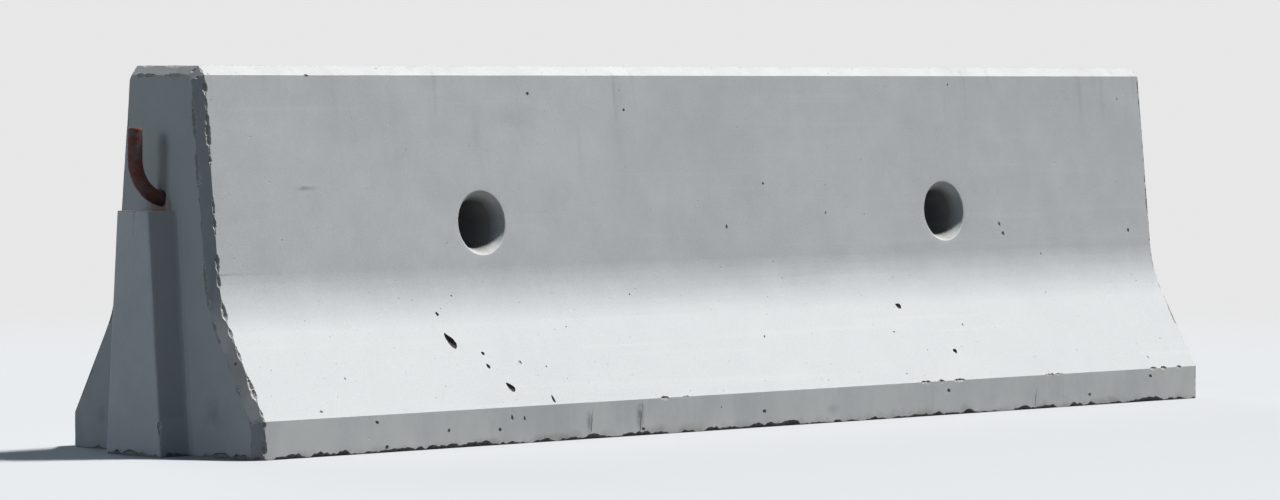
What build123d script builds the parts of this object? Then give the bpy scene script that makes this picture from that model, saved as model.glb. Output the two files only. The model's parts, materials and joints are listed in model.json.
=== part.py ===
from build123d import *
from math import atan2, cos, degrees, radians, sin, tan
import os

os.makedirs("parts", exist_ok=True)

# Concrete barrier with a hook at one end and an eye at the other, in millimetres.
# +Z is up and z = 0 is the face it stands on. +X runs along the barrier, the hook
# end at -X and the eye end at +X. The origin is the middle of the base.

# Overall size
length = 3048.0
height = 813.0
base_width = 620.0
shoulder_width = 240.0

# Side profile: upright lip, lower slope, rounded break, steep upper face
lip_height = 80.0
lower_slope_angle = 59.0
upper_face_angle = 84.0
break_radius = 300.0
arris = 20.0
end_arris = 20.0

# Lifting holes through the web, each flared square to the steep face it opens in
lifting_hole_diameter = 106.0
lifting_hole_mouth_diameter = 138.0
lifting_hole_flare_depth = 30.0
lifting_hole_flare_overlap = 6.0
lifting_hole_spacing = 1500.0
lifting_hole_height = 469.0
lifting_hole_rounding = 5.0

# Tongue on the hook end, which stops just under the hook
tongue_reach = 78.0
tongue_top_width = 102.0
tongue_base_width = 182.0
tongue_draft = 6.0
tongue_root_radius = 15.0
tongue_edge_radius = 8.0
tongue_hook_clearance = 7.0

# Groove in the eye end, which takes the tongue of the next barrier
groove_cover = 96.0
groove_base_clearance = 21.0
groove_ledge_clearance = 3.4
groove_end_clearance = 37.0
groove_draft = 8.0
groove_edge_radius = 6.0

# Eye, a round bar bent to a hairpin that lies level across the pocket
eye_diameter = 20.0
eye_below_groove_top = 117.0
eye_setback = 20.0
eye_hook_clearance = 4.0
eye_anchor = 240.0

# Hook, a round bar that leaves the end face nearly level and bends straight up
hook_diameter = 32.0
hook_stand_off = 68.0
hook_bend_radius = 85.0
hook_below_eye = 67.0
hook_above_eye = 83.0
hook_tip_chamfer = 2.0
hook_anchor = 320.0

# Pocket behind the upper groove, where hook and eye meet
pocket_hook_clearance = 86.0
pocket_below_eye = 48.0

# How near an edge counts as lying on a face
touch = 0.1

# Derived positions
hook_end = -length / 2
eye_end = length / 2
base_half = base_width / 2
shoulder_half = shoulder_width / 2
shoulder_height = height - arris
lower_run = 1 / tan(radians(lower_slope_angle))
upper_run = 1 / tan(radians(upper_face_angle))
slope_gap = base_half - shoulder_half + lip_height * lower_run - shoulder_height * upper_run
break_height = slope_gap / (lower_run - upper_run)
break_half = shoulder_half + (shoulder_height - break_height) * upper_run
face_out = sin(radians(upper_face_angle))
face_up = cos(radians(upper_face_angle))
mouth_height = lifting_hole_height + lifting_hole_flare_depth * face_up
mouth_half = shoulder_half + (shoulder_height - mouth_height) * upper_run
mouth_radius = lifting_hole_mouth_diameter / 2
flare_slope = (mouth_radius - lifting_hole_diameter / 2) / lifting_hole_flare_depth
flare_angle = degrees(atan2(flare_slope, 1))
flare_root_depth = lifting_hole_flare_depth + lifting_hole_flare_overlap
flare_root_radius = mouth_radius - flare_root_depth * flare_slope
groove_height = height - groove_cover
eye_height = groove_height - eye_below_groove_top
pocket_bottom = eye_height - pocket_below_eye
hook_height = eye_height - hook_below_eye
hook_tip_height = eye_height + hook_above_eye
tongue_height = hook_height - hook_diameter / 2 - tongue_hook_clearance
tongue_top_half = tongue_top_width / 2
tongue_base_half = tongue_base_width / 2
groove_base_half = tongue_base_half + tongue_draft + groove_base_clearance
groove_ledge_half = tongue_top_half + tongue_draft + groove_ledge_clearance
groove_taper = (groove_base_half - groove_ledge_half) / tongue_height
groove_top_half = groove_base_half - groove_taper * groove_height
groove_depth = tongue_reach + groove_end_clearance
pocket_depth = hook_stand_off + hook_diameter / 2 + pocket_hook_clearance
stem_x = hook_end - hook_stand_off
bend_start_x = stem_x + hook_bend_radius
eye_bend_radius = (hook_diameter + eye_diameter) / 2 + eye_hook_clearance
eye_bend_x = eye_end - eye_setback - eye_bend_radius
eye_root_x = eye_end - pocket_depth - eye_anchor
floor_x = eye_end - groove_depth
floor_top_half = groove_top_half - groove_draft
floor_base_half = groove_base_half - groove_draft
floor_height = groove_height - groove_draft
floor_taper = (floor_base_half - floor_top_half) / floor_height
pocket_low_half = floor_top_half + (floor_height - pocket_bottom) * floor_taper

# Hook
with BuildPart() as hook:
    with BuildLine(Plane.XZ):
        shank = Line((hook_end + hook_anchor, hook_height), (bend_start_x, hook_height))
        bend = JernArc(start=shank @ 1, tangent=shank % 1, radius=hook_bend_radius, arc_size=-90)
        stem = Line(bend @ 1, (stem_x, hook_tip_height))
    with BuildSketch(Plane(origin=shank @ 0, z_dir=shank % 0)):
        Circle(hook_diameter / 2)
    sweep()
    chamfer(faces().sort_by(Axis.Z)[-1].edges(), length=hook_tip_chamfer)
hook.part.label = "hook"

# Eye
with BuildPart() as eye:
    with BuildLine(Plane.XY.offset(eye_height)):
        first_leg = Line((eye_root_x, -eye_bend_radius), (eye_bend_x, -eye_bend_radius))
        crown = JernArc(start=first_leg @ 1, tangent=first_leg % 1, radius=eye_bend_radius, arc_size=180)
        second_leg = Line(crown @ 1, (eye_root_x, eye_bend_radius))
    with BuildSketch(Plane(origin=first_leg @ 0, z_dir=first_leg % 0)):
        Circle(eye_diameter / 2)
    sweep()
eye.part.label = "eye"

# Concrete body, one casting
with BuildPart() as barrier_body:
    # Cross-section run along the whole length
    with BuildSketch(Plane.YZ.offset(hook_end)):
        with BuildLine():
            Polyline(
                (0, 0),
                (base_half, 0),
                (base_half, lip_height),
                (break_half, break_height),
                (shoulder_half, shoulder_height),
                (shoulder_half - arris, height),
                (0, height),
            )
            mirror(about=Plane.YZ)
        make_face()
        breaks = vertices().filter_by(lambda v: abs(v.Y - break_height) < touch)
        fillet(breaks, radius=break_radius)
    extrude(amount=length)

    # Bevel round both end faces, but not along the base
    end_edges = faces().filter_by(Axis.X).edges().filter_by(lambda e: e.center().Z > touch)
    chamfer(end_edges, length=end_arris)

    # Tongue, which narrows upwards and stops at a level ledge under the hook
    with BuildSketch(Plane.YZ.offset(hook_end)):
        with BuildLine():
            Polyline(
                (-tongue_base_half - tongue_draft, 0),
                (tongue_base_half + tongue_draft, 0),
                (tongue_top_half + tongue_draft, tongue_height),
                (-tongue_top_half - tongue_draft, tongue_height),
                close=True,
            )
        make_face()
    with BuildSketch(Plane.YZ.offset(hook_end - tongue_reach)):
        with BuildLine():
            Polyline(
                (-tongue_base_half, 0),
                (tongue_base_half, 0),
                (tongue_top_half, tongue_height),
                (-tongue_top_half, tongue_height),
                close=True,
            )
        make_face()
    loft(ruled=True)
    upright_edges = edges(Select.LAST).filter_by(lambda e: touch < e.center().Z < tongue_height - touch)
    root_edges = upright_edges.filter_by(lambda e: abs(e.center().X - hook_end) < touch)
    fillet(root_edges, radius=tongue_root_radius)
    outer_edges = edges().filter_by(lambda e: abs(e.center().X - hook_end + tongue_reach) < touch)
    fillet(outer_edges.filter_by(lambda e: e.center().Z > touch), radius=tongue_edge_radius)

    # Groove, open at the end face and at the base
    with BuildSketch(Plane.YZ.offset(eye_end)):
        with BuildLine():
            Polyline(
                (-groove_base_half, 0),
                (groove_base_half, 0),
                (groove_top_half, groove_height),
                (-groove_top_half, groove_height),
                close=True,
            )
        make_face()
    with BuildSketch(Plane.YZ.offset(floor_x)):
        with BuildLine():
            Polyline(
                (-floor_base_half, 0),
                (floor_base_half, 0),
                (floor_top_half, floor_height),
                (-floor_top_half, floor_height),
                close=True,
            )
        make_face()
    loft(ruled=True, mode=Mode.SUBTRACT)
    mouth_edges = edges(Select.LAST).filter_by(lambda e: abs(e.center().X - eye_end) < touch)
    fillet(mouth_edges.filter_by(lambda e: e.center().Z > touch), radius=groove_edge_radius)

    # Deeper pocket behind the upper part of the groove
    with BuildSketch(Plane.YZ.offset(floor_x)):
        with BuildLine():
            Polyline(
                (-pocket_low_half, pocket_bottom),
                (pocket_low_half, pocket_bottom),
                (floor_top_half, floor_height),
                (-floor_top_half, floor_height),
                close=True,
            )
        make_face()
    extrude(amount=groove_depth - pocket_depth, mode=Mode.SUBTRACT)

    # Two lifting holes, flared in front and behind, with rounded mouths
    with BuildSketch(Plane.XZ):
        with GridLocations(lifting_hole_spacing, 0, 2, 1):
            with Locations((0, lifting_hole_height)):
                Circle(lifting_hole_diameter / 2)
    extrude(amount=base_half, both=True, mode=Mode.SUBTRACT)
    for side in (1, -1):
        outward = (0, side * face_out, face_up)
        mouth = Plane(origin=(0, side * mouth_half, mouth_height), x_dir=(1, 0, 0), z_dir=outward)
        with BuildSketch(mouth.offset(-flare_root_depth)):
            with GridLocations(lifting_hole_spacing, 0, 2, 1):
                Circle(flare_root_radius)
        extrude(amount=2 * flare_root_depth, taper=-flare_angle, mode=Mode.SUBTRACT)
    rims = edges().filter_by(GeomType.CIRCLE).filter_by(lambda e: abs(e.radius - mouth_radius) < touch)
    fillet(rims, radius=lifting_hole_rounding)

    # Seats that the hook and the eye are cast into
    add(hook.part, mode=Mode.SUBTRACT)
    add(eye.part, mode=Mode.SUBTRACT)
barrier_body.part.label = "barrier_body"

export_step(barrier_body.part, "parts/barrier_body.step")
export_step(hook.part, "parts/hook.step")
export_step(eye.part, "parts/eye.step")
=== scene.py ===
import bpy
import bmesh
import json
from math import cos, pi, radians, sin, tan
from mathutils import Matrix, Vector, noise
from mathutils.bvhtree import BVHTree

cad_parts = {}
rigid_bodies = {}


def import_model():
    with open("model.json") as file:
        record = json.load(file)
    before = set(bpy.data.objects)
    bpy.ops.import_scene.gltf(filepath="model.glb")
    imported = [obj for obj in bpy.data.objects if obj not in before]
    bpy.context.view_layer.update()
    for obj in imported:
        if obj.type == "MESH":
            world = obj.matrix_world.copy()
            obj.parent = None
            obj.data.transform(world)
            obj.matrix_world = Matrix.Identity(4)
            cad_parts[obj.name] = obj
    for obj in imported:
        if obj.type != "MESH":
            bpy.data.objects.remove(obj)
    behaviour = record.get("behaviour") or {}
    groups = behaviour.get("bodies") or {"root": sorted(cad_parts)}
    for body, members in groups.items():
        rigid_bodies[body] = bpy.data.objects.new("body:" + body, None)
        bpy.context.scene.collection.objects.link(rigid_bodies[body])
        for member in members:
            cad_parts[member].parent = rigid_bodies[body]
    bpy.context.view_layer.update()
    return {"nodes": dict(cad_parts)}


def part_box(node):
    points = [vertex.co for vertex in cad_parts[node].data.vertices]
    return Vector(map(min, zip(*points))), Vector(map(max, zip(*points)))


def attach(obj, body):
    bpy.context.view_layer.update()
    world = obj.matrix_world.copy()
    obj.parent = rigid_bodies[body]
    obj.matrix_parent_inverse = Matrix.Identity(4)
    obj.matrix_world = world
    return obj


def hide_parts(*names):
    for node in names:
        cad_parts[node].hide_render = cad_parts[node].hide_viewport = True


# Precast concrete road barrier: a grey casting with a rusty hook and a rusty eye.
# Metres. The barrier lies along X with its hook end at -X and stands on z = 0.

for leftover in list(bpy.data.objects):
    bpy.data.objects.remove(leftover)      # startup cube, lamp and camera

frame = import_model()
print("frame loaded:", ", ".join(sorted(frame["nodes"])))


# Small helpers for objects and node trees

def addObject(name, data):
    thing = bpy.data.objects.new(name, data)
    bpy.context.scene.collection.objects.link(thing)
    return thing


def socketName(word):
    # cloudScale becomes Cloud Scale, as the socket is called
    return "".join(" " + letter if letter.isupper() else letter for letter in word).title()


def feed(tree, socket, value):
    # Links an output to the socket, or sets a plain value there
    if hasattr(value, "is_output"):
        tree.links.new(value, socket)
    else:
        socket.default_value = value


def addNode(tree, kind, inputs=None, **settings):
    node = tree.nodes.new(kind)
    column, row = divmod(len(tree.nodes) - 1, 6)
    node.location = (220 * column, -260 * row)      # six to a column, in the order they are made
    for name, value in settings.items():
        setattr(node, name, value)
    for label, value in (inputs or {}).items():
        feed(tree, node.inputs[label], value)
    return node


def addStep(tree, kind, inputs=None, **settings):
    # A node that is wanted for its first output alone
    return addNode(tree, kind, inputs, **settings).outputs[0]


def newTree(name, kind, inputs, outputs):
    # Each input is given by its first value, or by a socket type where it needs none
    tree = bpy.data.node_groups.new(name, kind)
    kinds = {float: "Float", int: "Int", tuple: "Vector"}
    for label, value in inputs.items():
        socketType = value if isinstance(value, str) else kinds[type(value)]
        socket = tree.interface.new_socket(label, in_out="INPUT", socket_type="NodeSocket" + socketType)
        if not isinstance(value, str):
            socket.default_value = value
    made = "NodeSocketGeometry" if kind == "GeometryNodeTree" else "NodeSocketFloat"
    for label in outputs:
        tree.interface.new_socket(label, in_out="OUTPUT", socket_type=made)
    return tree, addNode(tree, "NodeGroupInput").outputs, addNode(tree, "NodeGroupOutput").inputs


def addMath(tree, operation, first, second=None):
    inputs = {0: first} if second is None else {0: first, 1: second}
    return addStep(tree, "ShaderNodeMath", inputs, operation=operation)


def addVector(tree, operation, first, second=None):
    node = addNode(tree, "ShaderNodeVectorMath", {0: first}, operation=operation)
    if second is not None:
        feed(tree, node.inputs["Scale" if operation == "SCALE" else 1], second)
    return node.outputs["Value" if operation == "LENGTH" else "Vector"]


def addNoise(tree, vector, scale, detail, rough):
    inputs = {"Vector": vector, "Scale": scale, "Detail": detail, "Roughness": rough}
    return addNode(tree, "ShaderNodeTexNoise", inputs).outputs["Fac"]


def addRamp(tree, value, low, high, lowOut=0.0, highOut=1.0):
    inputs = {"Value": value, "From Min": low, "From Max": high, "To Min": lowOut, "To Max": highOut}
    return addNode(tree, "ShaderNodeMapRange", inputs, interpolation_type="SMOOTHSTEP").outputs["Result"]


def addStretch(tree, vector, scale):
    return addStep(tree, "ShaderNodeMapping", {"Vector": vector, "Scale": scale})


def addBlend(tree, factor, first, second, blendType="MIX"):
    first, second = (value if hasattr(value, "is_output") else (*value, 1.0) for value in (first, second))
    inputs = {"Factor": factor, "A": first, "B": second}
    return addNode(tree, "ShaderNodeMix", inputs, data_type="RGBA", blend_type=blendType).outputs["Result"]


def addParts(tree, vector):
    return addNode(tree, "ShaderNodeSeparateXYZ", {"Vector": vector}).outputs


def addFacing(tree, kind):
    # The surface's direction in its three parts
    return addParts(tree, addNode(tree, "ShaderNodeNewGeometry").outputs[kind])


# Shared effects as shader groups

def makeCastTone():
    # Cloudy tone, faint level streaks and sandy grain of a cast surface; slopes are more even
    tree, value, result = newTree("castTone", "ShaderNodeTree", {
        "Vector": "Vector", "Cloud Scale": 2.2, "Grain Scale": 420.0, "Slope Evenness": 0.0,
    }, ["Tone", "Streak", "Grain"])
    place = value["Vector"]
    clouds = addMath(tree, "MULTIPLY", addNoise(tree, place, value["Cloud Scale"], 5.0, 0.6), 0.62)
    patches = addMath(tree, "MULTIPLY", addNoise(tree, place, 14.0, 4.0, 0.55), 0.38)
    tone = addMath(tree, "ADD", clouds, patches)
    sideways = addMath(tree, "ABSOLUTE", addFacing(tree, "Normal")["Y"])
    slope = addMath(tree, "MULTIPLY", addRamp(tree, sideways, 0.98, 0.90),
                    addRamp(tree, sideways, 0.45, 0.65))
    evenness = addMath(tree, "MULTIPLY", slope, value["Slope Evenness"])
    calmer = addMath(tree, "MULTIPLY", addMath(tree, "SUBTRACT", 0.58, tone), evenness)
    feed(tree, result["Tone"], addMath(tree, "ADD", tone, calmer))
    lines = addStretch(tree, place, (0.8, 14.0, 26.0))
    feed(tree, result["Streak"], addNoise(tree, lines, 1.6, 4.0, 0.6))
    feed(tree, result["Grain"], addNoise(tree, place, value["Grain Scale"], 3.0, 0.7))
    return tree


def makePinholes():
    # Air holes of a millimetre or two, too small to be worth modelling; their darker colour is painted
    # shade inside them
    tree, value, result = newTree("pinholes", "ShaderNodeTree", {
        "Vector": "Vector", "Holes Per Metre": 40.0, "Share": 0.25,
    }, ["Hole"])
    cells = addNode(tree, "ShaderNodeTexVoronoi", {
        "Vector": value["Vector"], "Scale": value["Holes Per Metre"]}, feature="F1").outputs
    pick = addNode(tree, "ShaderNodeSeparateColor", {"Color": cells["Color"]}).outputs["Red"]
    size = addRamp(tree, pick, addMath(tree, "SUBTRACT", 1.0, value["Share"]), 1.0, 0.0, 0.1)
    away = addMath(tree, "DIVIDE", cells["Distance"], addMath(tree, "MAXIMUM", size, 0.0001))
    feed(tree, result["Hole"], addRamp(tree, away, 1.0, 0.6))
    return tree


def makeDirtFoot():
    # Splashed dirt that thins out upwards from the ground, and dry dust on the upright lip
    tree, value, result = newTree("dirtFoot", "ShaderNodeTree", {
        "Vector": "Vector", "Top": 0.06, "Raggedness": 0.05, "Lip": 0.08,
    }, ["Dirt", "Dust"])
    high = addParts(tree, value["Vector"])["Z"]
    lift = addMath(tree, "MULTIPLY", addNoise(tree, value["Vector"], 18.0, 5.0, 0.65), value["Raggedness"])
    dirt = addRamp(tree, addMath(tree, "ADD", high, lift), value["Top"], 0.012)
    feed(tree, result["Dirt"], dirt)
    upright = addRamp(tree, addMath(tree, "ABSOLUTE", addFacing(tree, "True Normal")["Y"]), 0.88, 0.96)
    onLip = addMath(tree, "MULTIPLY", upright, addMath(tree, "LESS_THAN", high, value["Lip"]))
    splashes = addNoise(tree, addStretch(tree, value["Vector"], (7.0, 7.0, 3.0)), 1.0, 6.0, 0.7)
    patchy = addRamp(tree, splashes, 0.36, 0.62, 0.45, 1.0)
    feed(tree, result["Dust"], addMath(tree, "MULTIPLY", onLip, patchy))
    return tree


def makeRainRun():
    # Thin upright runs under the top arrises
    tree, value, result = newTree("rainRun", "ShaderNodeTree", {
        "Vector": "Vector", "Lowest": 0.5, "Highest": 0.8, "Strength": 0.75,
    }, ["Run"])
    lines = addStretch(tree, value["Vector"], (24.0, 24.0, 1.3))
    runs = addRamp(tree, addNoise(tree, lines, 1.0, 4.0, 0.6), 0.48, 0.75)
    wide = addRamp(tree, addNoise(tree, value["Vector"], 2.3, 3.0, 0.5), 0.42, 0.62)
    fade = addRamp(tree, addParts(tree, value["Vector"])["Z"], value["Lowest"], value["Highest"])
    run = addMath(tree, "MULTIPLY", addMath(tree, "MULTIPLY", runs, wide), fade)
    feed(tree, result["Run"], addMath(tree, "MULTIPLY", run, value["Strength"]))
    return tree


def makeSettledDirtAndShade():
    # Dirt that lies on faces which look upwards; on the tongue's ledge it also stands for painted shade
    tree, value, result = newTree("settledDirtAndShade", "ShaderNodeTree", {
        "Vector": "Vector", "Patch Scale": 9.0,
    }, ["Dirt"])
    upward = addRamp(tree, addFacing(tree, "True Normal")["Z"], 0.55, 0.97)
    patches = addNoise(tree, value["Vector"], value["Patch Scale"], 6.0, 0.65)
    patchy = addRamp(tree, patches, 0.30, 0.72, 0.28, 0.72)
    feed(tree, result["Dirt"], addMath(tree, "MULTIPLY", upward, patchy))
    return tree


def makeRustRun():
    # Rust round a bar's root that runs down the concrete
    tree, value, result = newTree("rustRun", "ShaderNodeTree", {
        "Vector": "Vector", "Centre": (0.0, 0.0, 0.0), "Reach": 0.05,
    }, ["Rust"])
    parts = addParts(tree, addVector(tree, "SUBTRACT", value["Vector"], value["Centre"]))
    below = addMath(tree, "MULTIPLY", addMath(tree, "MINIMUM", parts["Z"], 0.0), 0.38)
    height = addMath(tree, "ADD", below, addMath(tree, "MAXIMUM", parts["Z"], 0.0))
    shape = {"X": addMath(tree, "MULTIPLY", parts["X"], 0.5), "Y": parts["Y"], "Z": height}
    away = addVector(tree, "LENGTH", addStep(tree, "ShaderNodeCombineXYZ", shape))
    lines = addStretch(tree, value["Vector"], (60.0, 60.0, 12.0))
    ragged = addRamp(tree, addNoise(tree, lines, 1.0, 4.0, 0.6), 0.3, 0.7, 0.35, 1.15)
    spread = addMath(tree, "MULTIPLY", value["Reach"], ragged)
    feed(tree, result["Rust"], addRamp(tree, addMath(tree, "DIVIDE", away, spread), 1.0, 0.25, 0.0, 0.75))
    return tree


def makeSmudge():
    # A soft dark spot or streak of a given size at one place: a dirty mark, or a painted shadow
    tree, value, result = newTree("smudgeAndShade", "ShaderNodeTree", {
        "Vector": "Vector", "Centre": (0.0, 0.0, 0.0), "Size": (0.1, 0.1, 0.1), "Strength": 0.5,
    }, ["Smudge"])
    offset = addVector(tree, "SUBTRACT", value["Vector"], value["Centre"])
    away = addVector(tree, "LENGTH", addVector(tree, "DIVIDE", offset, value["Size"]))
    ragged = addMath(tree, "MULTIPLY", addNoise(tree, value["Vector"], 55.0, 4.0, 0.65), 1.1)
    soft = addRamp(tree, addMath(tree, "ADD", away, ragged), 1.45, 0.45)
    feed(tree, result["Smudge"], addMath(tree, "MULTIPLY", soft, value["Strength"]))
    return tree


def makeEndStainAndShade():
    # Darker upright end faces with damp patches, more of them low down; painted shade on the tongue's
    # flanks; and a darker tone on the bevels round them
    tree, value, result = newTree("endStainAndShade", "ShaderNodeTree", {
        "Vector": "Vector", "Top": 0.45, "Least": 0.4, "Bevel Middle": 1.513, "Half Bevel": 0.0115,
        "Tongue Start": 1.5245, "Tongue End": 1.59,
    }, ["Damp", "Soot"])
    facing = addFacing(tree, "Normal")
    facingEnd = addMath(tree, "ABSOLUTE", facing["X"])
    lengthways = addRamp(tree, facingEnd, 0.5, 0.9)
    sideways = addRamp(tree, addMath(tree, "ABSOLUTE", facing["Y"]), 0.6, 0.85)
    offSlant = addMath(tree, "ABSOLUTE", addMath(tree, "SUBTRACT", facingEnd, 0.7))
    slanted = addRamp(tree, offSlant, 0.16, 0.08)
    place = addParts(tree, value["Vector"])
    outward = addMath(tree, "ABSOLUTE", place["X"])
    offMiddle = addMath(tree, "ABSOLUTE", addMath(tree, "SUBTRACT", outward, value["Bevel Middle"]))
    bevel = addMath(tree, "MULTIPLY", slanted, addMath(tree, "LESS_THAN", offMiddle, value["Half Bevel"]))
    flush = addRamp(tree, outward, value["Tongue End"], value["Tongue Start"], 0.2, 1.0)
    proud = addMath(tree, "GREATER_THAN", outward, value["Tongue Start"])
    low = addRamp(tree, place["Z"], value["Top"], 0.0, 0.25, 1.0)
    lines = addStretch(tree, value["Vector"], (9.0, 9.0, 3.2))
    patches = addRamp(tree, addNoise(tree, lines, 1.0, 6.0, 0.68), 0.44, 0.66)
    patchy = addMath(tree, "MAXIMUM", addMath(tree, "MULTIPLY", low, patches), value["Least"])
    onFace = addMath(tree, "MULTIPLY", addMath(tree, "MULTIPLY", patchy, lengthways), flush)
    # The tongue's flanks get painted shade
    flankShade = addMath(tree, "MULTIPLY", sideways, proud)
    feed(tree, result["Damp"], addMath(tree, "MAXIMUM", onFace, flankShade))
    # Darker bevels round the ends, most where they face upwards
    fromAbove = addRamp(tree, facing["Z"], 0.1, 0.45, 0.6, 0.95)
    uneven = addMath(tree, "MULTIPLY", fromAbove, addRamp(tree, patches, 0.0, 1.0, 0.8, 1.0))
    feed(tree, result["Soot"], addMath(tree, "MULTIPLY", bevel, uneven))
    return tree


def makeHoleGrime():
    # Painted shade that deepens with depth inside the two lifting holes
    tree, value, result = newTree("holeGrime", "ShaderNodeTree", {
        "Vector": "Vector", "From Middle": 0.75, "Height": 0.47, "Reach": 0.08, "Mouth": 0.155,
        "Lean": 0.105,
    }, ["Grime"])
    place = addParts(tree, value["Vector"])
    aside = addMath(tree, "SUBTRACT", addMath(tree, "ABSOLUTE", place["X"]), value["From Middle"])
    above = addMath(tree, "SUBTRACT", place["Z"], value["Height"])
    away = addVector(tree, "LENGTH", addStep(tree, "ShaderNodeCombineXYZ", {"X": aside, "Z": above}))
    inside = addMath(tree, "LESS_THAN", away, value["Reach"])
    mouth = addMath(tree, "SUBTRACT", value["Mouth"], addMath(tree, "MULTIPLY", above, value["Lean"]))
    depth = addMath(tree, "SUBTRACT", mouth, addMath(tree, "ABSOLUTE", place["Y"]))
    patches = addMath(tree, "MULTIPLY", addNoise(tree, value["Vector"], 24.0, 5.0, 0.65), 0.02)
    deep = addRamp(tree, addMath(tree, "ADD", depth, patches), 0.014, 0.042)
    feed(tree, result["Grime"], addMath(tree, "MULTIPLY", inside, deep))
    return tree


castTone = makeCastTone()
pinholes = makePinholes()
dirtFoot = makeDirtFoot()
rainRun = makeRainRun()
settledDirtAndShade = makeSettledDirtAndShade()
rustRun = makeRustRun()
smudgeAndShade = makeSmudge()
endStainAndShade = makeEndStainAndShade()
holeGrime = makeHoleGrime()


def emptyTree(owner):
    owner.use_nodes = True
    owner.node_tree.nodes.clear()
    return owner.node_tree


def newFinish(name, rough):
    finish = bpy.data.materials.new(name)
    tree = emptyTree(finish)
    shader = addNode(tree, "ShaderNodeBsdfPrincipled", {"Roughness": rough})
    addNode(tree, "ShaderNodeOutputMaterial", {"Surface": shader.outputs["BSDF"]})
    return finish, tree, shader.inputs, addNode(tree, "ShaderNodeTexCoord").outputs["Object"]


def useGroup(tree, group, place, **values):
    inputs = {"Vector": place, **{socketName(word): value for word, value in values.items()}}
    return addNode(tree, "ShaderNodeGroup", inputs, node_tree=group).outputs


def addBump(tree, height, distance, strength):
    return addStep(tree, "ShaderNodeBump", {"Height": height, "Distance": distance, "Strength": strength})


# Concrete finishes

concreteLook = {
    "pale": (0.495, 0.513, 0.523),         # dry cement skin
    "dark": (0.435, 0.452, 0.465),         # denser, damper patches
    "dust": (0.55, 0.555, 0.55),           # pale level streaks
    "lipDust": (0.62, 0.63, 0.625),        # dried splashes on the lip
    "dirt": (0.20, 0.185, 0.165),          # splashed and settled soil; on the tongue's ledge also painted shade
    "rain": (0.36, 0.375, 0.38),           # run-off under the top arrises
    "rust": (0.22, 0.10, 0.05),            # run from the steel
    "broken": (0.44, 0.435, 0.42),         # inside, where an arris is chipped
    "brokenDark": (0.30, 0.295, 0.28),
    "pit": (0.34, 0.345, 0.345),           # air holes and nicks; on the unmodelled pinholes it is painted shade
    "pitDark": (0.22, 0.22, 0.215),
    "mark": (0.045, 0.042, 0.04),          # oily dirt in the larger hollows
    "markDark": (0.02, 0.019, 0.018),
    "damp": (0.27, 0.28, 0.285),           # darker end faces with damp patches, and painted shade on the tongue's flanks
    "soot": (0.115, 0.12, 0.13),           # darker tone on the end bevels and in smudges; beside the hook it is a painted shadow
    "holeShade": (0.085, 0.085, 0.08),         # painted shade deep inside the lifting holes
}
rustRuns = {               # place, reach
    "hook": ((-1.524, 0.0, 0.528), 0.055),
    "eye": ((1.354, 0.0, 0.59), 0.06),
}
smudgeAndShadeLook = {             # place, half the size, strength
    "scrape": ((-1.248, -0.145, 0.554), (0.045, 0.08, 0.008), 0.55),
    "lipLeft": ((-0.575, -0.31, 0.040), (0.015, 0.08, 0.042), 0.6),
    "lipMiddle": ((-0.420, -0.31, 0.045), (0.021, 0.08, 0.045), 0.7),
    "lipRight": ((0.20, -0.31, 0.030), (0.030, 0.08, 0.020), 0.35),
    "underTop": ((-0.62, -0.13, 0.70), (0.10, 0.08, 0.05), 0.16),
    # painted shadow of the hook's stem on the end face
    "hookShadow": ((-1.524, -0.016, 0.636), (0.05, 0.019, 0.060), 0.35),
    "endLowFront": ((-1.524, -0.17, 0.09), (0.05, 0.050, 0.045), 0.30),
    "endLowBack": ((-1.524, 0.20, 0.07), (0.05, 0.030, 0.030), 0.30),
}


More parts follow.
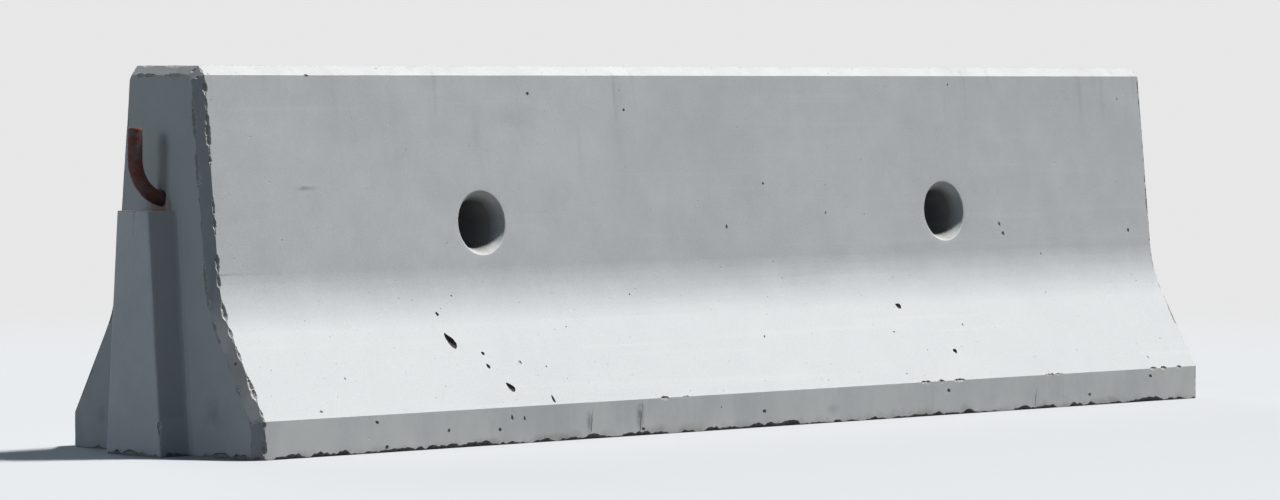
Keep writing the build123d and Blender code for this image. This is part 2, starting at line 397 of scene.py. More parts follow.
def makeCastConcrete():
    finish, tree, shader, place = newFinish("castConcrete", 0.86)
    tone = useGroup(tree, castTone, place, cloudScale=1.9, grainScale=420.0, slopeEvenness=0.7)
    # Darker pinholes: painted shade inside them
    holes = useGroup(tree, pinholes, place, holesPerMetre=46.0, share=0.18)
    foot = useGroup(tree, dirtFoot, place, top=0.056, raggedness=0.07)
    run = useGroup(tree, rainRun, place, lowest=0.50, highest=0.80)
    # Settled dirt, and painted shade on the tongue's ledge
    ledge = useGroup(tree, settledDirtAndShade, place, patchScale=9.0)
    # Painted shade inside the lifting holes
    holeShade = useGroup(tree, holeGrime, place, fromMiddle=0.75, height=0.47, reach=0.078, mouth=0.153)
    # Darker end faces, with painted shade on the tongue's flanks
    ends = useGroup(tree, endStainAndShade, place, top=0.5, least=0.75)

    # The bare cement skin, with its grain multiplied in
    cloudy = addRamp(tree, tone["Tone"], 0.32, 0.70)
    colour = addBlend(tree, cloudy, concreteLook["dark"], concreteLook["pale"])
    streaky = addRamp(tree, tone["Streak"], 0.55, 0.78, 0.0, 0.4)
    colour = addBlend(tree, streaky, colour, concreteLook["dust"])
    colour = addBlend(tree, run["Run"], colour, concreteLook["rain"])
    speck = addRamp(tree, tone["Grain"], 0.30, 0.72, 0.92, 1.06)
    colour = addBlend(tree, 1.0, colour, speck, "MULTIPLY")

    # What lies over it, in order: mask, strength, colour
    layers = [(holes["Hole"], 0.6, "pit"), (ledge["Dirt"], 1.0, "dirt"), (foot["Dust"], 0.78, "lipDust"),
              (foot["Dirt"], 0.85, "dirt"), (holeShade["Grime"], 0.85, "holeShade"), (ends["Damp"], 0.7, "damp"),
              (ends["Soot"], 1.0, "soot")]
    # The smudges; one of them is the hook's painted shadow
    for centre, size, strength in smudgeAndShadeLook.values():
        spot = useGroup(tree, smudgeAndShade, place, centre=centre, size=size, strength=strength)
        layers.append((spot["Smudge"], 1.0, "soot"))
    for centre, reach in rustRuns.values():
        layers.append((useGroup(tree, rustRun, place, centre=centre, reach=reach)["Rust"], 1.0, "rust"))
    for mask, strength, name in layers:
        colour = addBlend(tree, addMath(tree, "MULTIPLY", mask, strength), colour, concreteLook[name])
    feed(tree, shader["Base Color"], colour)
    feed(tree, shader["Roughness"], addRamp(tree, tone["Tone"], 0.3, 0.7, 0.92, 0.78))
    height = addMath(tree, "SUBTRACT", addMath(tree, "MULTIPLY", tone["Grain"], 0.35), holes["Hole"])
    feed(tree, shader["Normal"], addBump(tree, height, 0.0012, 0.8))
    return finish


def makeBrokenConcrete(name, shade):
    finish, tree, shader, place = newFinish(name, 0.93)
    tone = useGroup(tree, castTone, place, cloudScale=30.0, grainScale=260.0)
    cells = {"Vector": place, "Scale": 150.0}
    stones = addNode(tree, "ShaderNodeTexVoronoi", cells, feature="F1").outputs["Distance"]
    cloudy = addRamp(tree, tone["Tone"], 0.35, 0.65)
    mixed = addBlend(tree, cloudy, concreteLook[shade + "Dark"], concreteLook[shade])
    mixed = addBlend(tree, 1.0, mixed, addRamp(tree, stones, 0.15, 0.6, 1.12, 0.8), "MULTIPLY")
    feed(tree, shader["Base Color"], mixed)
    feed(tree, shader["Normal"], addBump(tree, addMath(tree, "ADD", stones, tone["Grain"]), 0.002, 0.7))
    return finish


castConcrete = makeCastConcrete()
brokenConcrete = makeBrokenConcrete("brokenConcrete", "broken")
pitConcrete = makeBrokenConcrete("pitConcrete", "pit")
markConcrete = makeBrokenConcrete("markConcrete", "mark")
print("concrete finishes ready")


# The casting

castingLook = {
    "grid": 0.025,             # spacing of the mesh lines
    "breakAt": (0.1705, 0.3121),           # where steep face and slope would meet: from the middle, height
    "breakRadius": 0.3,
    "faceAngle": 84,           # degrees, for the steep face and the slope
    "slopeAngle": 59,
    "breakRows": 14,
    "holeAt": 0.75,            # lifting holes, from the middle
    "waviness": 0.0011,        # how far the form's faces wander inwards
    "waveSizes": (0.16, 0.05),             # of the slow wander and of the quick one
    "arrisAngle": 25,          # degrees: a sharper edge than this wears and chips
    "creaseAngle": 22,         # degrees: a sharper edge than this stays crisp
    "oilyDepth": 0.34,         # of a hollow, as a share of its width
    "nickDepth": 0.25,
    "wander": (0.012, 0.004),  # of a crack's line, in long and in short bends
    "crackStep": 0.007,
}


def mergedCopy(node):
    # The node's loose triangles joined into one closed mesh
    mesh = bmesh.new()
    mesh.from_mesh(node.data)
    bmesh.ops.remove_doubles(mesh, verts=mesh.verts, dist=0.00001)
    for tolerance in (0.0002, 0.0004, 0.0008):
        torn = [vert for vert in mesh.verts if any(len(edge.link_faces) != 2 for edge in vert.link_edges)]
        if not torn:
            break
        bmesh.ops.remove_doubles(mesh, verts=torn, dist=tolerance)
        lost = [face for face in mesh.faces if face.calc_area() < 1e-12]
        bmesh.ops.delete(mesh, geom=lost, context="FACES_ONLY")
    bmesh.ops.holes_fill(mesh, edges=[edge for edge in mesh.edges if edge.is_boundary], sides=8)
    return mesh


def cutAlong(mesh, axis, places, faceTest=None):
    # Level cuts across one axis, through all faces or those that pass the test
    for place in places:
        faces = [face for face in mesh.faces if faceTest is None or faceTest(face)]
        geom = faces + list({edge for face in faces for edge in face.edges})
        geom += list({vert for face in faces for vert in face.verts})
        point, direction = Vector((0, 0, 0)), Vector((0, 0, 0))
        point[axis] = place
        direction[axis] = 1
        bmesh.ops.bisect_plane(mesh, geom=geom, dist=0.000001, plane_co=point, plane_no=direction)


def steps(low, high, count):
    return [low + (high - low) * (i + 0.5) / count for i in range(count)]


def smoothBreak(mesh):
    # More rows across the rounded break, each moved back on to the true arc
    half, height = castingLook["breakAt"]
    face, slope = radians(castingLook["faceAngle"]), radians(castingLook["slopeAngle"])
    radius = castingLook["breakRadius"]
    tangent = radius * tan((face - slope) / 2)
    highest, lowest = height + tangent * sin(face), height - tangent * sin(slope)
    centre = Vector((half - tangent * cos(face), highest)) + radius * Vector((sin(face), cos(face)))
    cutAlong(mesh, 2, steps(lowest, highest, castingLook["breakRows"]))
    for vert in mesh.verts:
        if lowest < vert.co.z < highest:
            arc = centre.x - (radius ** 2 - (vert.co.z - centre.y) ** 2) ** 0.5
            if abs(abs(vert.co.y) - arc) < 0.0015:
                vert.co.y = arc if vert.co.y > 0 else -arc


def sharpArrises(mesh):
    # Outer edges where the form's faces meet: the foot, the lip, the top and the ends
    groups = {"foot": [], "lip": [], "top": [], "ends": []}
    sharp = radians(castingLook["arrisAngle"])
    for edge in mesh.edges:
        if len(edge.link_faces) != 2 or not edge.is_convex or edge.calc_face_angle() < sharp:
            continue
        middle = (edge.verts[0].co + edge.verts[1].co) / 2
        fromHole = abs(abs(middle.x) - castingLook["holeAt"])
        nearHole = fromHole < 0.09 and middle.z > 0.3 and abs(middle.y) < 0.2
        inSeat = abs(middle.y) < 0.045 and middle.z > 0.51 and abs(middle.x) < 1.5
        if nearHole or inSeat:
            continue
        along = (edge.verts[1].co - edge.verts[0].co).normalized()
        lengthways = "lip" if middle.z < 0.2 else "top"
        groups["foot" if middle.z < 0.002 else lengthways if abs(along.x) > 0.9 else "ends"].append(edge)
    return groups


def lineObject(name, places, pairs, outwards):
    # A mesh of bare edges with the direction that points out of the concrete at each point
    mesh = bpy.data.meshes.new(name)
    mesh.from_pydata(places, pairs, [])
    outward = mesh.attributes.new("outward", "FLOAT_VECTOR", "POINT")
    for index, direction in enumerate(outwards):
        outward.data[index].vector = direction
    return addObject(name, mesh)


def edgeLines(name, edges):
    # The same for edges of a mesh, with the direction between each edge's two faces
    places, pairs, outwards = {}, [], {}
    for edge in edges:
        for vert in edge.verts:
            places.setdefault(vert, len(places))
            outwards.setdefault(vert, Vector((0, 0, 0)))
            outwards[vert] += edge.link_faces[0].normal + edge.link_faces[1].normal
        pairs.append([places[vert] for vert in edge.verts])
    directions = [outwards[vert].normalized() for vert in places]
    return lineObject(name, [vert.co.copy() for vert in places], pairs, directions)


def addRattle(tree, geometry, scale, amount):
    # Moves each point by a noise, up to half the amount either way
    colour = addNode(tree, "ShaderNodeTexNoise", {"Scale": scale}).outputs["Color"]
    shift = addVector(tree, "SCALE", addVector(tree, "SUBTRACT", colour, (0.5, 0.5, 0.5)), amount)
    return addStep(tree, "GeometryNodeSetPosition", {"Geometry": geometry, "Offset": shift})


def addFinish(tree, geometry, finish):
    return addStep(tree, "GeometryNodeSetMaterial", {"Geometry": geometry, "Material": finish})


def makeEdgeBites():
    # A tube of changing thickness beside each line: where it swells it bites the arris
    tree, value, result = newTree("edgeBites", "GeometryNodeTree", {
        "Lines": "Geometry", "Step": 0.007, "Least": 0.0006, "Bite": 0.012, "Stand Off": 0.003,
        "Patch Scale": 7.0, "Patch Level": 0.52, "Chip Scale": 70.0, "Seed": 0.0, "Finish": "Material",
    }, ["Bites"])
    place = addStep(tree, "GeometryNodeInputPosition")
    noises = []
    for scale, shift, detail in (("Patch Scale", 0.0, 1.0), ("Chip Scale", 7.3, 4.0)):
        noises.append(addNode(tree, "ShaderNodeTexNoise", {
            "Vector": place, "Scale": value[scale], "W": addMath(tree, "ADD", value["Seed"], shift),
            "Detail": detail, "Roughness": 0.6}, noise_dimensions="4D").outputs["Fac"])
    level = value["Patch Level"]
    patch = addRamp(tree, noises[0], level, addMath(tree, "ADD", level, 0.12))
    chip = addRamp(tree, noises[1], 0.38, 0.66)
    along = addNode(tree, "GeometryNodeSplineParameter").outputs["Length"]
    left = addMath(tree, "SUBTRACT", addStep(tree, "GeometryNodeSplineLength"), along)
    ends = addRamp(tree, addMath(tree, "MINIMUM", left, along), 0.004, 0.02)
    share = addMath(tree, "MULTIPLY", addMath(tree, "MULTIPLY", patch, chip), ends)
    radius = addMath(tree, "ADD", addMath(tree, "MULTIPLY", share, value["Bite"]), value["Least"])
    outward = addNode(tree, "GeometryNodeInputNamedAttribute", {"Name": "outward"},
                      data_type="FLOAT_VECTOR").outputs["Attribute"]
    aside = addVector(tree, "SCALE", outward, value["Stand Off"])
    curve = addStep(tree, "GeometryNodeMeshToCurve", {"Mesh": value["Lines"]})
    spaced = addStep(tree, "GeometryNodeResampleCurve", {"Curve": curve, "Length": value["Step"]},
                     mode="LENGTH")
    moved = addStep(tree, "GeometryNodeSetPosition", {"Geometry": spaced, "Offset": aside})
    ring = addStep(tree, "GeometryNodeCurvePrimitiveCircle", {"Resolution": 7, "Radius": 1.0})
    tube = addStep(tree, "GeometryNodeCurveToMesh", {
        "Curve": moved, "Profile Curve": ring, "Scale": radius, "Fill Caps": True})
    uneven = addRattle(tree, tube, 160.0, addMath(tree, "MULTIPLY", share, 0.007))
    real = addStep(tree, "GeometryNodeRealizeInstances", {"Geometry": uneven})
    feed(tree, result["Bites"], addFinish(tree, real, value["Finish"]))
    return tree


def makePitLumps():
    # Lumps strewn over the faces, larger ones rare, each pressed into the surface
    tree, value, result = newTree("pitLumps", "GeometryNodeTree", {
        "Faces": "Geometry", "Spacing": 0.02, "Density": 120.0, "Smallest": 0.0018, "Largest": 0.009,
        "Depth": 0.9, "Seed": 1, "Finish": "Material",
    }, ["Lumps"])
    seed = value["Seed"]
    share = addNode(tree, "GeometryNodeInputNamedAttribute", {"Name": "pitShare"},
                    data_type="FLOAT").outputs["Attribute"]
    strewn = addNode(tree, "GeometryNodeDistributePointsOnFaces", {
        "Mesh": value["Faces"], "Distance Min": value["Spacing"], "Density Max": value["Density"],
        "Density Factor": share, "Seed": seed}, distribute_method="POISSON").outputs
    chance = addNode(tree, "FunctionNodeRandomValue", {"Seed": seed}, data_type="FLOAT").outputs[1]
    rare = addMath(tree, "POWER", chance, 10.0)
    extra = addMath(tree, "MULTIPLY", rare, addMath(tree, "SUBTRACT", value["Largest"], value["Smallest"]))
    size = addMath(tree, "ADD", value["Smallest"], extra)
    shape = addStep(tree, "FunctionNodeRandomValue", {0: (0.7, 0.7, 0.7), 1: (1.5, 1.1, 1.1), "Seed": seed},
                    data_type="FLOAT_VECTOR")
    flatten = addStep(tree, "ShaderNodeCombineXYZ", {"X": 1.0, "Y": 1.0, "Z": value["Depth"]})
    scale = addVector(tree, "SCALE", addVector(tree, "MULTIPLY", shape, flatten), size)
    spin = addStep(tree, "FunctionNodeRandomValue", {0: (0, 0, 0), 1: (0, 0, 2 * pi)},
                   data_type="FLOAT_VECTOR")
    turned = addStep(tree, "FunctionNodeRotateRotation", {
        "Rotation": strewn["Rotation"], "Rotate By": spin}, rotation_space="LOCAL")
    ball = addStep(tree, "GeometryNodeMeshIcoSphere", {"Radius": 1.0, "Subdivisions": 2})
    lumps = addStep(tree, "GeometryNodeInstanceOnPoints", {
        "Points": strewn["Points"], "Instance": ball, "Rotation": turned, "Scale": scale})
    real = addStep(tree, "GeometryNodeRealizeInstances", {"Geometry": lumps})
    uneven = addRattle(tree, real, 220.0, 0.003)
    feed(tree, result["Lumps"], addFinish(tree, uneven, value["Finish"]))
    return tree


def plainMesh(thing):
    # The mesh that the object has once its modifiers are worked out
    graph = bpy.context.evaluated_depsgraph_get()
    return bpy.data.meshes.new_from_object(thing.evaluated_get(graph), depsgraph=graph)


def grow(host, tree, name, **values):
    # Runs a node tree on the host and keeps the result as a plain mesh object
    modifier = host.modifiers.new(name, "NODES")
    modifier.node_group = tree
    sockets = {item.name: item.identifier for item in tree.interface.items_tree if item.in_out == "INPUT"}
    for word, value in values.items():
        modifier[sockets[socketName(word)]] = value
    mesh = plainMesh(host)
    host.modifiers.remove(modifier)
    mesh.name = name
    return addObject(name, mesh)


def carve(body, cutter):
    # Takes the cutter's shape out of the body; the cut faces keep the cutter's finish
    modifier = body.modifiers.new("carve", "BOOLEAN")
    modifier.object = cutter
    modifier.solver = "MANIFOLD"
    modifier.operation = "DIFFERENCE"
    modifier.material_mode = "TRANSFER"
    mesh = plainMesh(body)
    body.modifiers.remove(modifier)
    old = body.data
    body.data = mesh
    bpy.data.meshes.remove(old)
    bpy.data.objects.remove(cutter)


def softShading(thing, creaseAngle):
    thing.data.polygons.foreach_set("use_smooth", [True] * len(thing.data.polygons))
    thing.data.set_sharp_from_angle(angle=radians(creaseAngle))


def sharpenFinishEdges(body):
    # Chips and holes get a crisp edge, so that they leave no creases beside them
    mesh = bmesh.new()
    mesh.from_mesh(body.data)
    for edge in mesh.edges:
        if len({face.material_index for face in edge.link_faces}) > 1:
            edge.smooth = False
    mesh.to_mesh(body.data)
    mesh.free()


def triangles(thing):
    return sum(len(face.vertices) - 2 for face in thing.data.polygons)


def forget(thing):
    data = thing.data
    bpy.data.objects.remove(thing)
    bpy.data.meshes.remove(data)


wearLook = {
    "foot": {"step": 0.005, "least": 0.0035, "bite": 0.0125, "standOff": 0.0026, "patchScale": 7.0,
             "patchLevel": 0.26, "chipScale": 21.0, "seed": 2.0},
    "lip": {"step": 0.005, "least": 0.0006, "bite": 0.0075, "standOff": 0.0028, "patchScale": 5.0,
            "patchLevel": 0.50, "chipScale": 34.0, "seed": 5.0},
    "top": {"step": 0.005, "least": 0.0006, "bite": 0.006, "standOff": 0.0026, "patchScale": 4.0,
            "patchLevel": 0.58, "chipScale": 34.0, "seed": 8.0},
    "ends": {"step": 0.004, "least": 0.0018, "bite": 0.0070, "standOff": 0.0022, "patchScale": 6.5,
             "patchLevel": 0.24, "chipScale": 23.0, "seed": 6.0},
    "cracks": {"step": 0.004, "least": 0.0003, "bite": 0.0011, "standOff": 0.0, "patchScale": 9.0,
               "patchLevel": 0.1, "chipScale": 60.0, "seed": 9.0},
    "pits": {"spacing": 0.018, "density": 220.0, "smallest": 0.0011, "largest": 0.0054, "depth": 0.55,
             "seed": 4},
}
oilyLook = {               # dirty hollows on the slope: along X, height, length, width, lean in degrees
    "drop": (-0.907, 0.223, 0.042, 0.020, 62),
    "dropTop": (-0.916, 0.280, 0.011, 0.008, 60),
    "beadA": (-0.829, 0.194, 0.010, 0.008, 50),
    "beadB": (-0.828, 0.167, 0.013, 0.009, 65),
    "drip": (-0.787, 0.121, 0.028, 0.015, 48),
    "dripLow": (-0.677, 0.092, 0.020, 0.007, 85),
    "hollowA": (0.534, 0.254, 0.018, 0.014, 30),
    "hollowB": (0.661, 0.146, 0.014, 0.012, 10),
}
nickLook = {               # shallow nicks on the lip and the steep face, written the same way
    "lipA": (-1.195, 0.065, 0.011, 0.007, 20),
    "lipB": (-0.991, 0.038, 0.009, 0.008, 0),
    "lipC": (-0.842, 0.033, 0.010, 0.008, 60),
    "lipD": (-0.806, 0.057, 0.014, 0.007, 80),
    "lipE": (-0.769, 0.054, 0.010, 0.006, 75),
    "lipF": (-0.026, 0.036, 0.012, 0.009, 10),
    "lipG": (0.595, 0.057, 0.013, 0.009, 30),
    "lipH": (1.101, 0.026, 0.010, 0.008, 0),
    "lipI": (1.330, 0.062, 0.012, 0.008, 15),
    "highA": (-0.586, 0.753, 0.010, 0.008, 20),
    "highB": (-0.293, 0.716, 0.008, 0.007, 0),
}
crackLook = {              # place along X, top, and 1 for the front or -1 for the back
    "main": (-0.417, 0.085, 1),
    "second": (-0.569, 0.07, 1),
    "short": (0.905, 0.05, 1),
    "back": (0.38, 0.09, -1),
}


def makeMarks(surface, look, finish, depth, side):
    # Long shallow hollows pressed into the front; the far side has the same ones turned half round
    mesh = bmesh.new()
    for along, high, long, wide, lean in look.values():
        place, normal = surface.ray_cast(Vector((along, -1, high)), Vector((0, 1, 0)))[:2]
        across = Vector((1, 0, 0))
        upward = across.cross(normal) * -1
        lengthways = across * cos(radians(lean)) - upward * sin(radians(lean))
        sideways = normal.cross(lengthways)
        for vert in bmesh.ops.create_icosphere(mesh, subdivisions=2, radius=1.0)["verts"]:
            x, y, z = vert.co * (1 + 0.22 * noise.noise(vert.co * 1.7 + place * 9))
            y *= 1 + 0.35 * x      # blunter at one end
            vert.co = (place + lengthways * x * long / 2 + sideways * y * wide / 2
                       + normal * z * wide * depth)
    if side < 0:
        bmesh.ops.rotate(mesh, verts=mesh.verts, cent=(0, 0, 0), matrix=Matrix.Rotation(pi, 3, "Z"))
    marks = addObject("marks", bpy.data.meshes.new("marks"))
    mesh.to_mesh(marks.data)
    mesh.free()
    marks.data.materials.append(finish)
    return marks


def makeCracks(surface):
    # Wandering lines from the foot up over the lip
    slow, quick = castingLook["wander"]
    lowest = 0.001
    places, pairs, outwards = [], [], []
    for along, top, side in crackLook.values():
        high = lowest
        while high < top:
            shift = slow * noise.noise(Vector((along, high * 22, 0)))
            shift += quick * noise.noise(Vector((along, high * 90, 5)))
            start = Vector((along + shift, -side, high))
            place, normal = surface.ray_cast(start, Vector((0, side, 0)))[:2]
            if high > lowest:
                pairs.append((len(places) - 1, len(places)))
            places.append(place)
            outwards.append(normal.copy())
            high += castingLook["crackStep"]
    return lineObject("crackLines", places, pairs, outwards)


def airHoles(face):
    # Share of air holes: most on the slopes, fewer on the steep faces and the ends
    normal, middle = face.normal, face.calc_center_median()
    if abs(middle.x) > 1.53 or abs(normal.y) < 0.3 or abs(middle.y) < 0.1:
        return 0.12 if abs(normal.x) > 0.9 and middle.z > 0.02 else 0.0
    return 0.22 if abs(normal.y) > 0.97 else 0.75


def makeCasting():
    low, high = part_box("barrier_body")
    mesh = mergedCopy(frame["nodes"]["barrier_body"])
    openEdges = sum(1 for edge in mesh.edges if len(edge.link_faces) != 2)
    print("casting merged:", len(mesh.faces), "faces,", openEdges, "open edges")
    bmesh.ops.dissolve_limit(mesh, angle_limit=0.004, verts=mesh.verts, edges=mesh.edges)
    mesh.normal_update()
    lines = {name: edgeLines(name + "Lines", edges) for name, edges in sharpArrises(mesh).items()}
    for axis, faceTest in ((0, None), (2, None), (1, lambda face: abs(face.normal.z) > 0.98)):
        count = round((high[axis] - low[axis]) / castingLook["grid"])
        cutAlong(mesh, axis, steps(low[axis], high[axis], count), faceTest)
    smoothBreak(mesh)
    mesh.normal_update()
    slow, quick = castingLook["waveSizes"]
    for vert in mesh.verts:
        wave = noise.noise(vert.co / slow) + 0.4 * noise.noise(vert.co / quick)
        vert.co -= vert.normal * castingLook["waviness"] * min(1.0, max(0.0, 0.5 + 0.6 * wave))
    bmesh.ops.triangulate(mesh, faces=[face for face in mesh.faces if len(face.verts) > 4])
    mesh.faces.ensure_lookup_table()
    shares = [airHoles(face) for face in mesh.faces]
    surface = BVHTree.FromBMesh(mesh)
    casting = addObject("casting", bpy.data.meshes.new("casting"))
    mesh.to_mesh(casting.data)
    mesh.free()
    for name in ("custom_normal", "sharp_edge", "sharp_face"):
        if name in casting.data.attributes:
            casting.data.attributes.remove(casting.data.attributes[name])
    casting.data.materials.clear()
    casting.data.materials.append(castConcrete)
    casting.data.attributes.new("pitShare", "FLOAT", "FACE").data.foreach_set("value", shares)

    lumps = grow(casting, makePitLumps(), "airHoles", finish=pitConcrete, **wearLook["pits"])
    bites = makeEdgeBites()
    cracks = makeCracks(surface)
    carve(casting, lumps)
    for side in (1, -1):
        carve(casting, makeMarks(surface, oilyLook, markConcrete, castingLook["oilyDepth"], side))
        carve(casting, makeMarks(surface, nickLook, pitConcrete, castingLook["nickDepth"], side))
    carve(casting, grow(cracks, bites, "crackBites", finish=brokenConcrete, **wearLook["cracks"]))
    for name in ("top", "lip", "ends", "foot"):
        carve(casting, grow(lines[name], bites, name + "Bites", finish=brokenConcrete, **wearLook[name]))
    for thing in (cracks, *lines.values()):
        forget(thing)
    casting.data.attributes.remove(casting.data.attributes["pitShare"])
    softShading(casting, castingLook["creaseAngle"])
    sharpenFinishEdges(casting)
    casting.data.name = "casting"
    return casting


casting = makeCasting()
print("casting:", triangles(casting), "triangles")
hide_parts("barrier_body")
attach(casting, "root")


# Rusted bars

rustLook = {
    "scale": (0.105, 0.027, 0.019),        # reddish loose rust
    "skin": (0.027, 0.016, 0.017),         # dark mill skin and old rust
    "bright": (0.17, 0.052, 0.028),        # fresh rust on the flakes
}
barLook = {
    "hook": {"bend": 0.085, "bendSteps": 24, "pitDepth": 0.0009, "pitScale": 120.0, "rim": 0.003},
    "eye": {"bendSteps": 36, "pitDepth": 0.0006, "pitScale": 170.0, "rim": 0.001},
    "creaseAngle": 50,         # degrees
}


def makeRust():
    finish, tree, shader, place = newFinish("rustedBar", 0.8)
    patches = addNoise(tree, place, 55.0, 6.0, 0.65)
    flakes = addNoise(tree, place, 330.0, 5.0, 0.7)
    mixed = addBlend(tree, addRamp(tree, patches, 0.4, 0.62), rustLook["skin"], rustLook["scale"])
    mixed = addBlend(tree, addRamp(tree, flakes, 0.55, 0.75, 0.0, 0.6), mixed, rustLook["bright"])
    feed(tree, shader["Base Color"], mixed)
    feed(tree, shader["Roughness"], addRamp(tree, patches, 0.35, 0.65, 0.6, 0.92))
    feed(tree, shader["Normal"], addBump(tree, addMath(tree, "ADD", patches, flakes), 0.0015, 0.9))
    return finish


rustedBar = makeRust()


def makeRoughBar():
    # A round bar along a path, pitted and flaked by rust, with a worn rim at its far end
    tree, value, result = newTree("roughBar", "GeometryNodeTree", {
        "Path": "Geometry", "Radius": 0.016, "Step": 0.003, "Sides": 40, "Pit Depth": 0.001,
        "Pit Scale": 150.0, "Rim": 0.002, "Finish": "Material",
    }, ["Bar"])
    spaced = addStep(tree, "GeometryNodeResampleCurve", {"Curve": value["Path"], "Length": value["Step"]},
                     mode="LENGTH")
    along = addNode(tree, "GeometryNodeSplineParameter").outputs["Length"]
    left = addMath(tree, "SUBTRACT", addStep(tree, "GeometryNodeSplineLength"), along)
    worn = addRamp(tree, left, 0.0, value["Rim"], 0.86, 1.0)
    ring = addStep(tree, "GeometryNodeCurvePrimitiveCircle", {
        "Resolution": value["Sides"], "Radius": value["Radius"]})
    bar = addStep(tree, "GeometryNodeCurveToMesh", {
        "Curve": spaced, "Profile Curve": ring, "Scale": worn, "Fill Caps": True})
    pits = addNode(tree, "ShaderNodeTexNoise", {
        "Scale": value["Pit Scale"], "Detail": 4.0, "Roughness": 0.6}).outputs["Fac"]
    flakes = addNode(tree, "ShaderNodeTexVoronoi", {"Scale": 260.0}, feature="F1").outputs["Distance"]
    deep = addMath(tree, "ADD", addRamp(tree, pits, 0.42, 0.70), addRamp(tree, flakes, 0.1, 0.7, 0.0, 0.35))
    inward = addMath(tree, "MULTIPLY", addMath(tree, "MULTIPLY", deep, value["Pit Depth"]), -1.0)
    shift = addVector(tree, "SCALE", addStep(tree, "GeometryNodeInputNormal"), inward)
    moved = addStep(tree, "GeometryNodeSetPosition", {"Geometry": bar, "Offset": shift})
    real = addStep(tree, "GeometryNodeRealizeInstances", {"Geometry": moved})
    feed(tree, result["Bar"], addFinish(tree, real, value["Finish"]))
    return tree


def barPath(name, places):
    curve = bpy.data.curves.new(name, "CURVE")
    curve.dimensions = "3D"
    line = curve.splines.new("POLY")
    line.points.add(len(places) - 1)
    for point, place in zip(line.points, places):
        point.co = (*place, 1.0)
    return addObject(name, curve)


def bendAngles(whole, count):
    return [whole * i / count for i in range(count + 1)]


def hookPath():
    # Level out of the end face, then a quarter bend straight up
    low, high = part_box("hook")
    radius = (high.y - low.y) / 2
    bend = barLook["hook"]["bend"]
    stem, level = low.x + radius, low.z + radius
    turn = [(stem + bend - bend * sin(angle), 0.0, level + bend - bend * cos(angle))
            for angle in bendAngles(pi / 2, barLook["hook"]["bendSteps"])]
    return [(high.x, 0.0, level), *turn, (stem, 0.0, high.z)], radius


def eyePath():
    # Out of the pocket's back wall, round a half turn and back in
    low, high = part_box("eye")
    radius = (high.z - low.z) / 2
    bend = (high.y - low.y) / 2 - radius
    level, crown = (high.z + low.z) / 2, high.x - radius - bend
    turn = [(crown + bend * sin(angle), -bend * cos(angle), level)
            for angle in bendAngles(pi, barLook["eye"]["bendSteps"])]
    return [(low.x, -bend, level), *turn, (low.x, bend, level)], radius


def makeBar(node, name, places, radius):
    look = barLook[node]
    path = barPath(name + "Path", places)
    bar = grow(path, makeRoughBar(), name, radius=radius, pitDepth=look["pitDepth"],
               pitScale=look["pitScale"], rim=look["rim"], finish=rustedBar)
    curve = path.data
    bpy.data.objects.remove(path)
    bpy.data.curves.remove(curve)
    softShading(bar, barLook["creaseAngle"])
    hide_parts(node)
    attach(bar, "root")
    print(name + ":", triangles(bar), "triangles")


makeBar("hook", "joiningHook", *hookPath())
makeBar("eye", "joiningEye", *eyePath())


# Floor, lamps and camera

stageLook = {
    "floor": (0.37, 0.38, 0.395),
    "floorSize": 60.0,         # half its width
    "fade": (3.0, 6.5),        # how far out the floor turns into the backdrop
    "floorGlow": (0.10, 0.10, 0.10),       # how much light the floor gives back to the object
    "backdrop": (0.80, 0.80, 0.80),
    "sky": (0.50, 0.76, 1.0),
    "skyStrength": 0.19,
}
lampLook = {               # where it shines from, colour, strength, softness in degrees
    "keyLamp": ((0.419, -0.185, 0.889), (1.0, 0.975, 0.945), 6.9, 6.0),
    "sideLamp": ((-0.97, 0.12, 0.2), (0.78, 0.90, 1.0), 0.39, 16.0),
    "backLamp": ((0.25, 0.9, 0.36), (0.94, 0.97, 1.0), 1.1, 40.0),
}
cameraLook = {
    "from": (-8.383, -8.383, 0.775),
    "towards": (-0.115, 0.0, 0.395),
    "lens": 145.0,
}


def shownOnly(tree):
    # 1 where the surface is seen directly, in a reflection or through glass
    path = addNode(tree, "ShaderNodeLightPath").outputs
    seen = addMath(tree, "MAXIMUM", path["Is Camera Ray"], path["Is Glossy Ray"])
    return addMath(tree, "MAXIMUM", seen, path["Is Transmission Ray"])


def addMixedSurface(tree, output, factor, first, second):
    mixed = addStep(tree, "ShaderNodeMixShader", {"Fac": factor, 1: first, 2: second})
    addNode(tree, output, {"Surface": mixed})


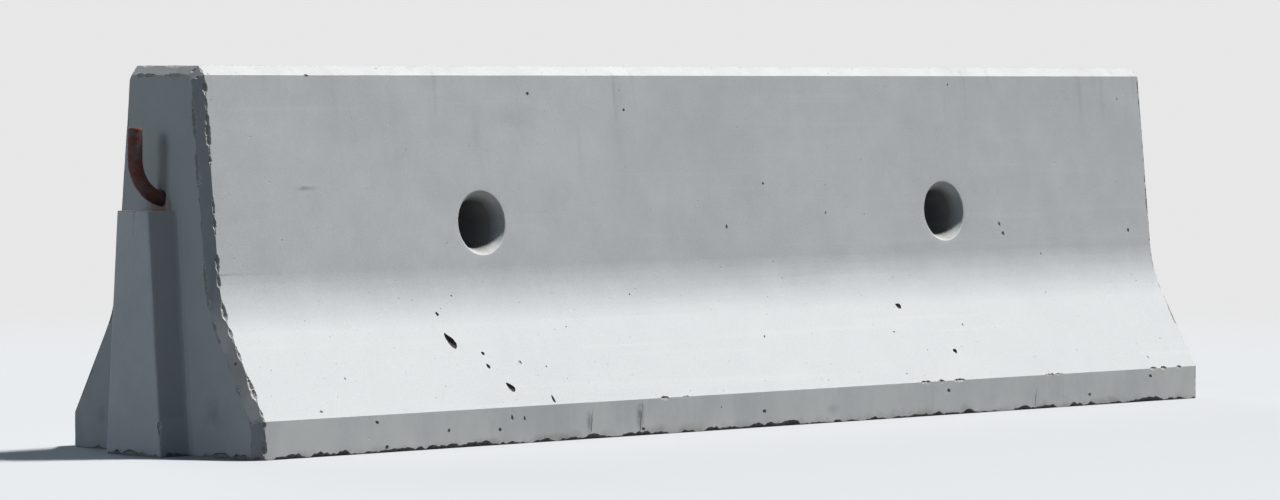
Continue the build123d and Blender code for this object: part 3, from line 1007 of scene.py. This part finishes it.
def makeFloor():
    size = stageLook["floorSize"]
    mesh = bpy.data.meshes.new("floor")
    corners = [(-size, -size, 0), (size, -size, 0), (size, size, 0), (-size, size, 0)]
    mesh.from_pydata(corners, [], [(0, 1, 2, 3)])
    floor = addObject("floor", mesh)
    finish = bpy.data.materials.new("floorPale")
    tree = emptyTree(finish)
    away = addVector(tree, "LENGTH", addNode(tree, "ShaderNodeTexCoord").outputs["Object"])
    far = addRamp(tree, away, *stageLook["fade"])
    tint = addBlend(tree, shownOnly(tree), stageLook["floorGlow"], stageLook["floor"])
    matt = addStep(tree, "ShaderNodeBsdfDiffuse", {"Color": tint})
    glow = addStep(tree, "ShaderNodeEmission", {"Color": (*stageLook["backdrop"], 1)})
    shown = addMath(tree, "MULTIPLY", far, shownOnly(tree))
    addMixedSurface(tree, "ShaderNodeOutputMaterial", shown, matt, glow)
    mesh.materials.append(finish)


def makeSky():
    # The object is lit by the sky's colour, and the camera sees the plain backdrop
    world = bpy.data.worlds.new("studio")
    bpy.context.scene.world = world
    tree = emptyTree(world)
    fill = addStep(tree, "ShaderNodeBackground", {
        "Color": (*stageLook["sky"], 1), "Strength": stageLook["skyStrength"]})
    plain = addStep(tree, "ShaderNodeBackground", {"Color": (*stageLook["backdrop"], 1)})
    addMixedSurface(tree, "ShaderNodeOutputWorld", shownOnly(tree), fill, plain)


def addSun(name, towards, colour, strength, softness):
    lamp = bpy.data.lights.new(name, "SUN")
    lamp.color = colour
    lamp.energy = strength
    lamp.angle = radians(softness)
    sun = addObject(name, lamp)
    sun.rotation_mode = "QUATERNION"
    sun.rotation_quaternion = Vector(towards).to_track_quat("Z", "Y")


def addCamera():
    data = bpy.data.cameras.new("camera")
    data.lens = cameraLook["lens"]
    data.sensor_width = 36.0
    data.clip_end = 200.0
    camera = addObject("camera", data)
    camera.location = cameraLook["from"]
    aim = Vector(cameraLook["towards"]) - Vector(cameraLook["from"])
    camera.rotation_euler = aim.to_track_quat("-Z", "Y").to_euler()
    bpy.context.scene.camera = camera


makeFloor()
makeSky()
for name, lamp in lampLook.items():
    addSun(name, *lamp)
addCamera()
bpy.context.scene.view_settings.view_transform = "Standard"
print("stage ready")

bpy.context.view_layer.update()
print("pieces placed")
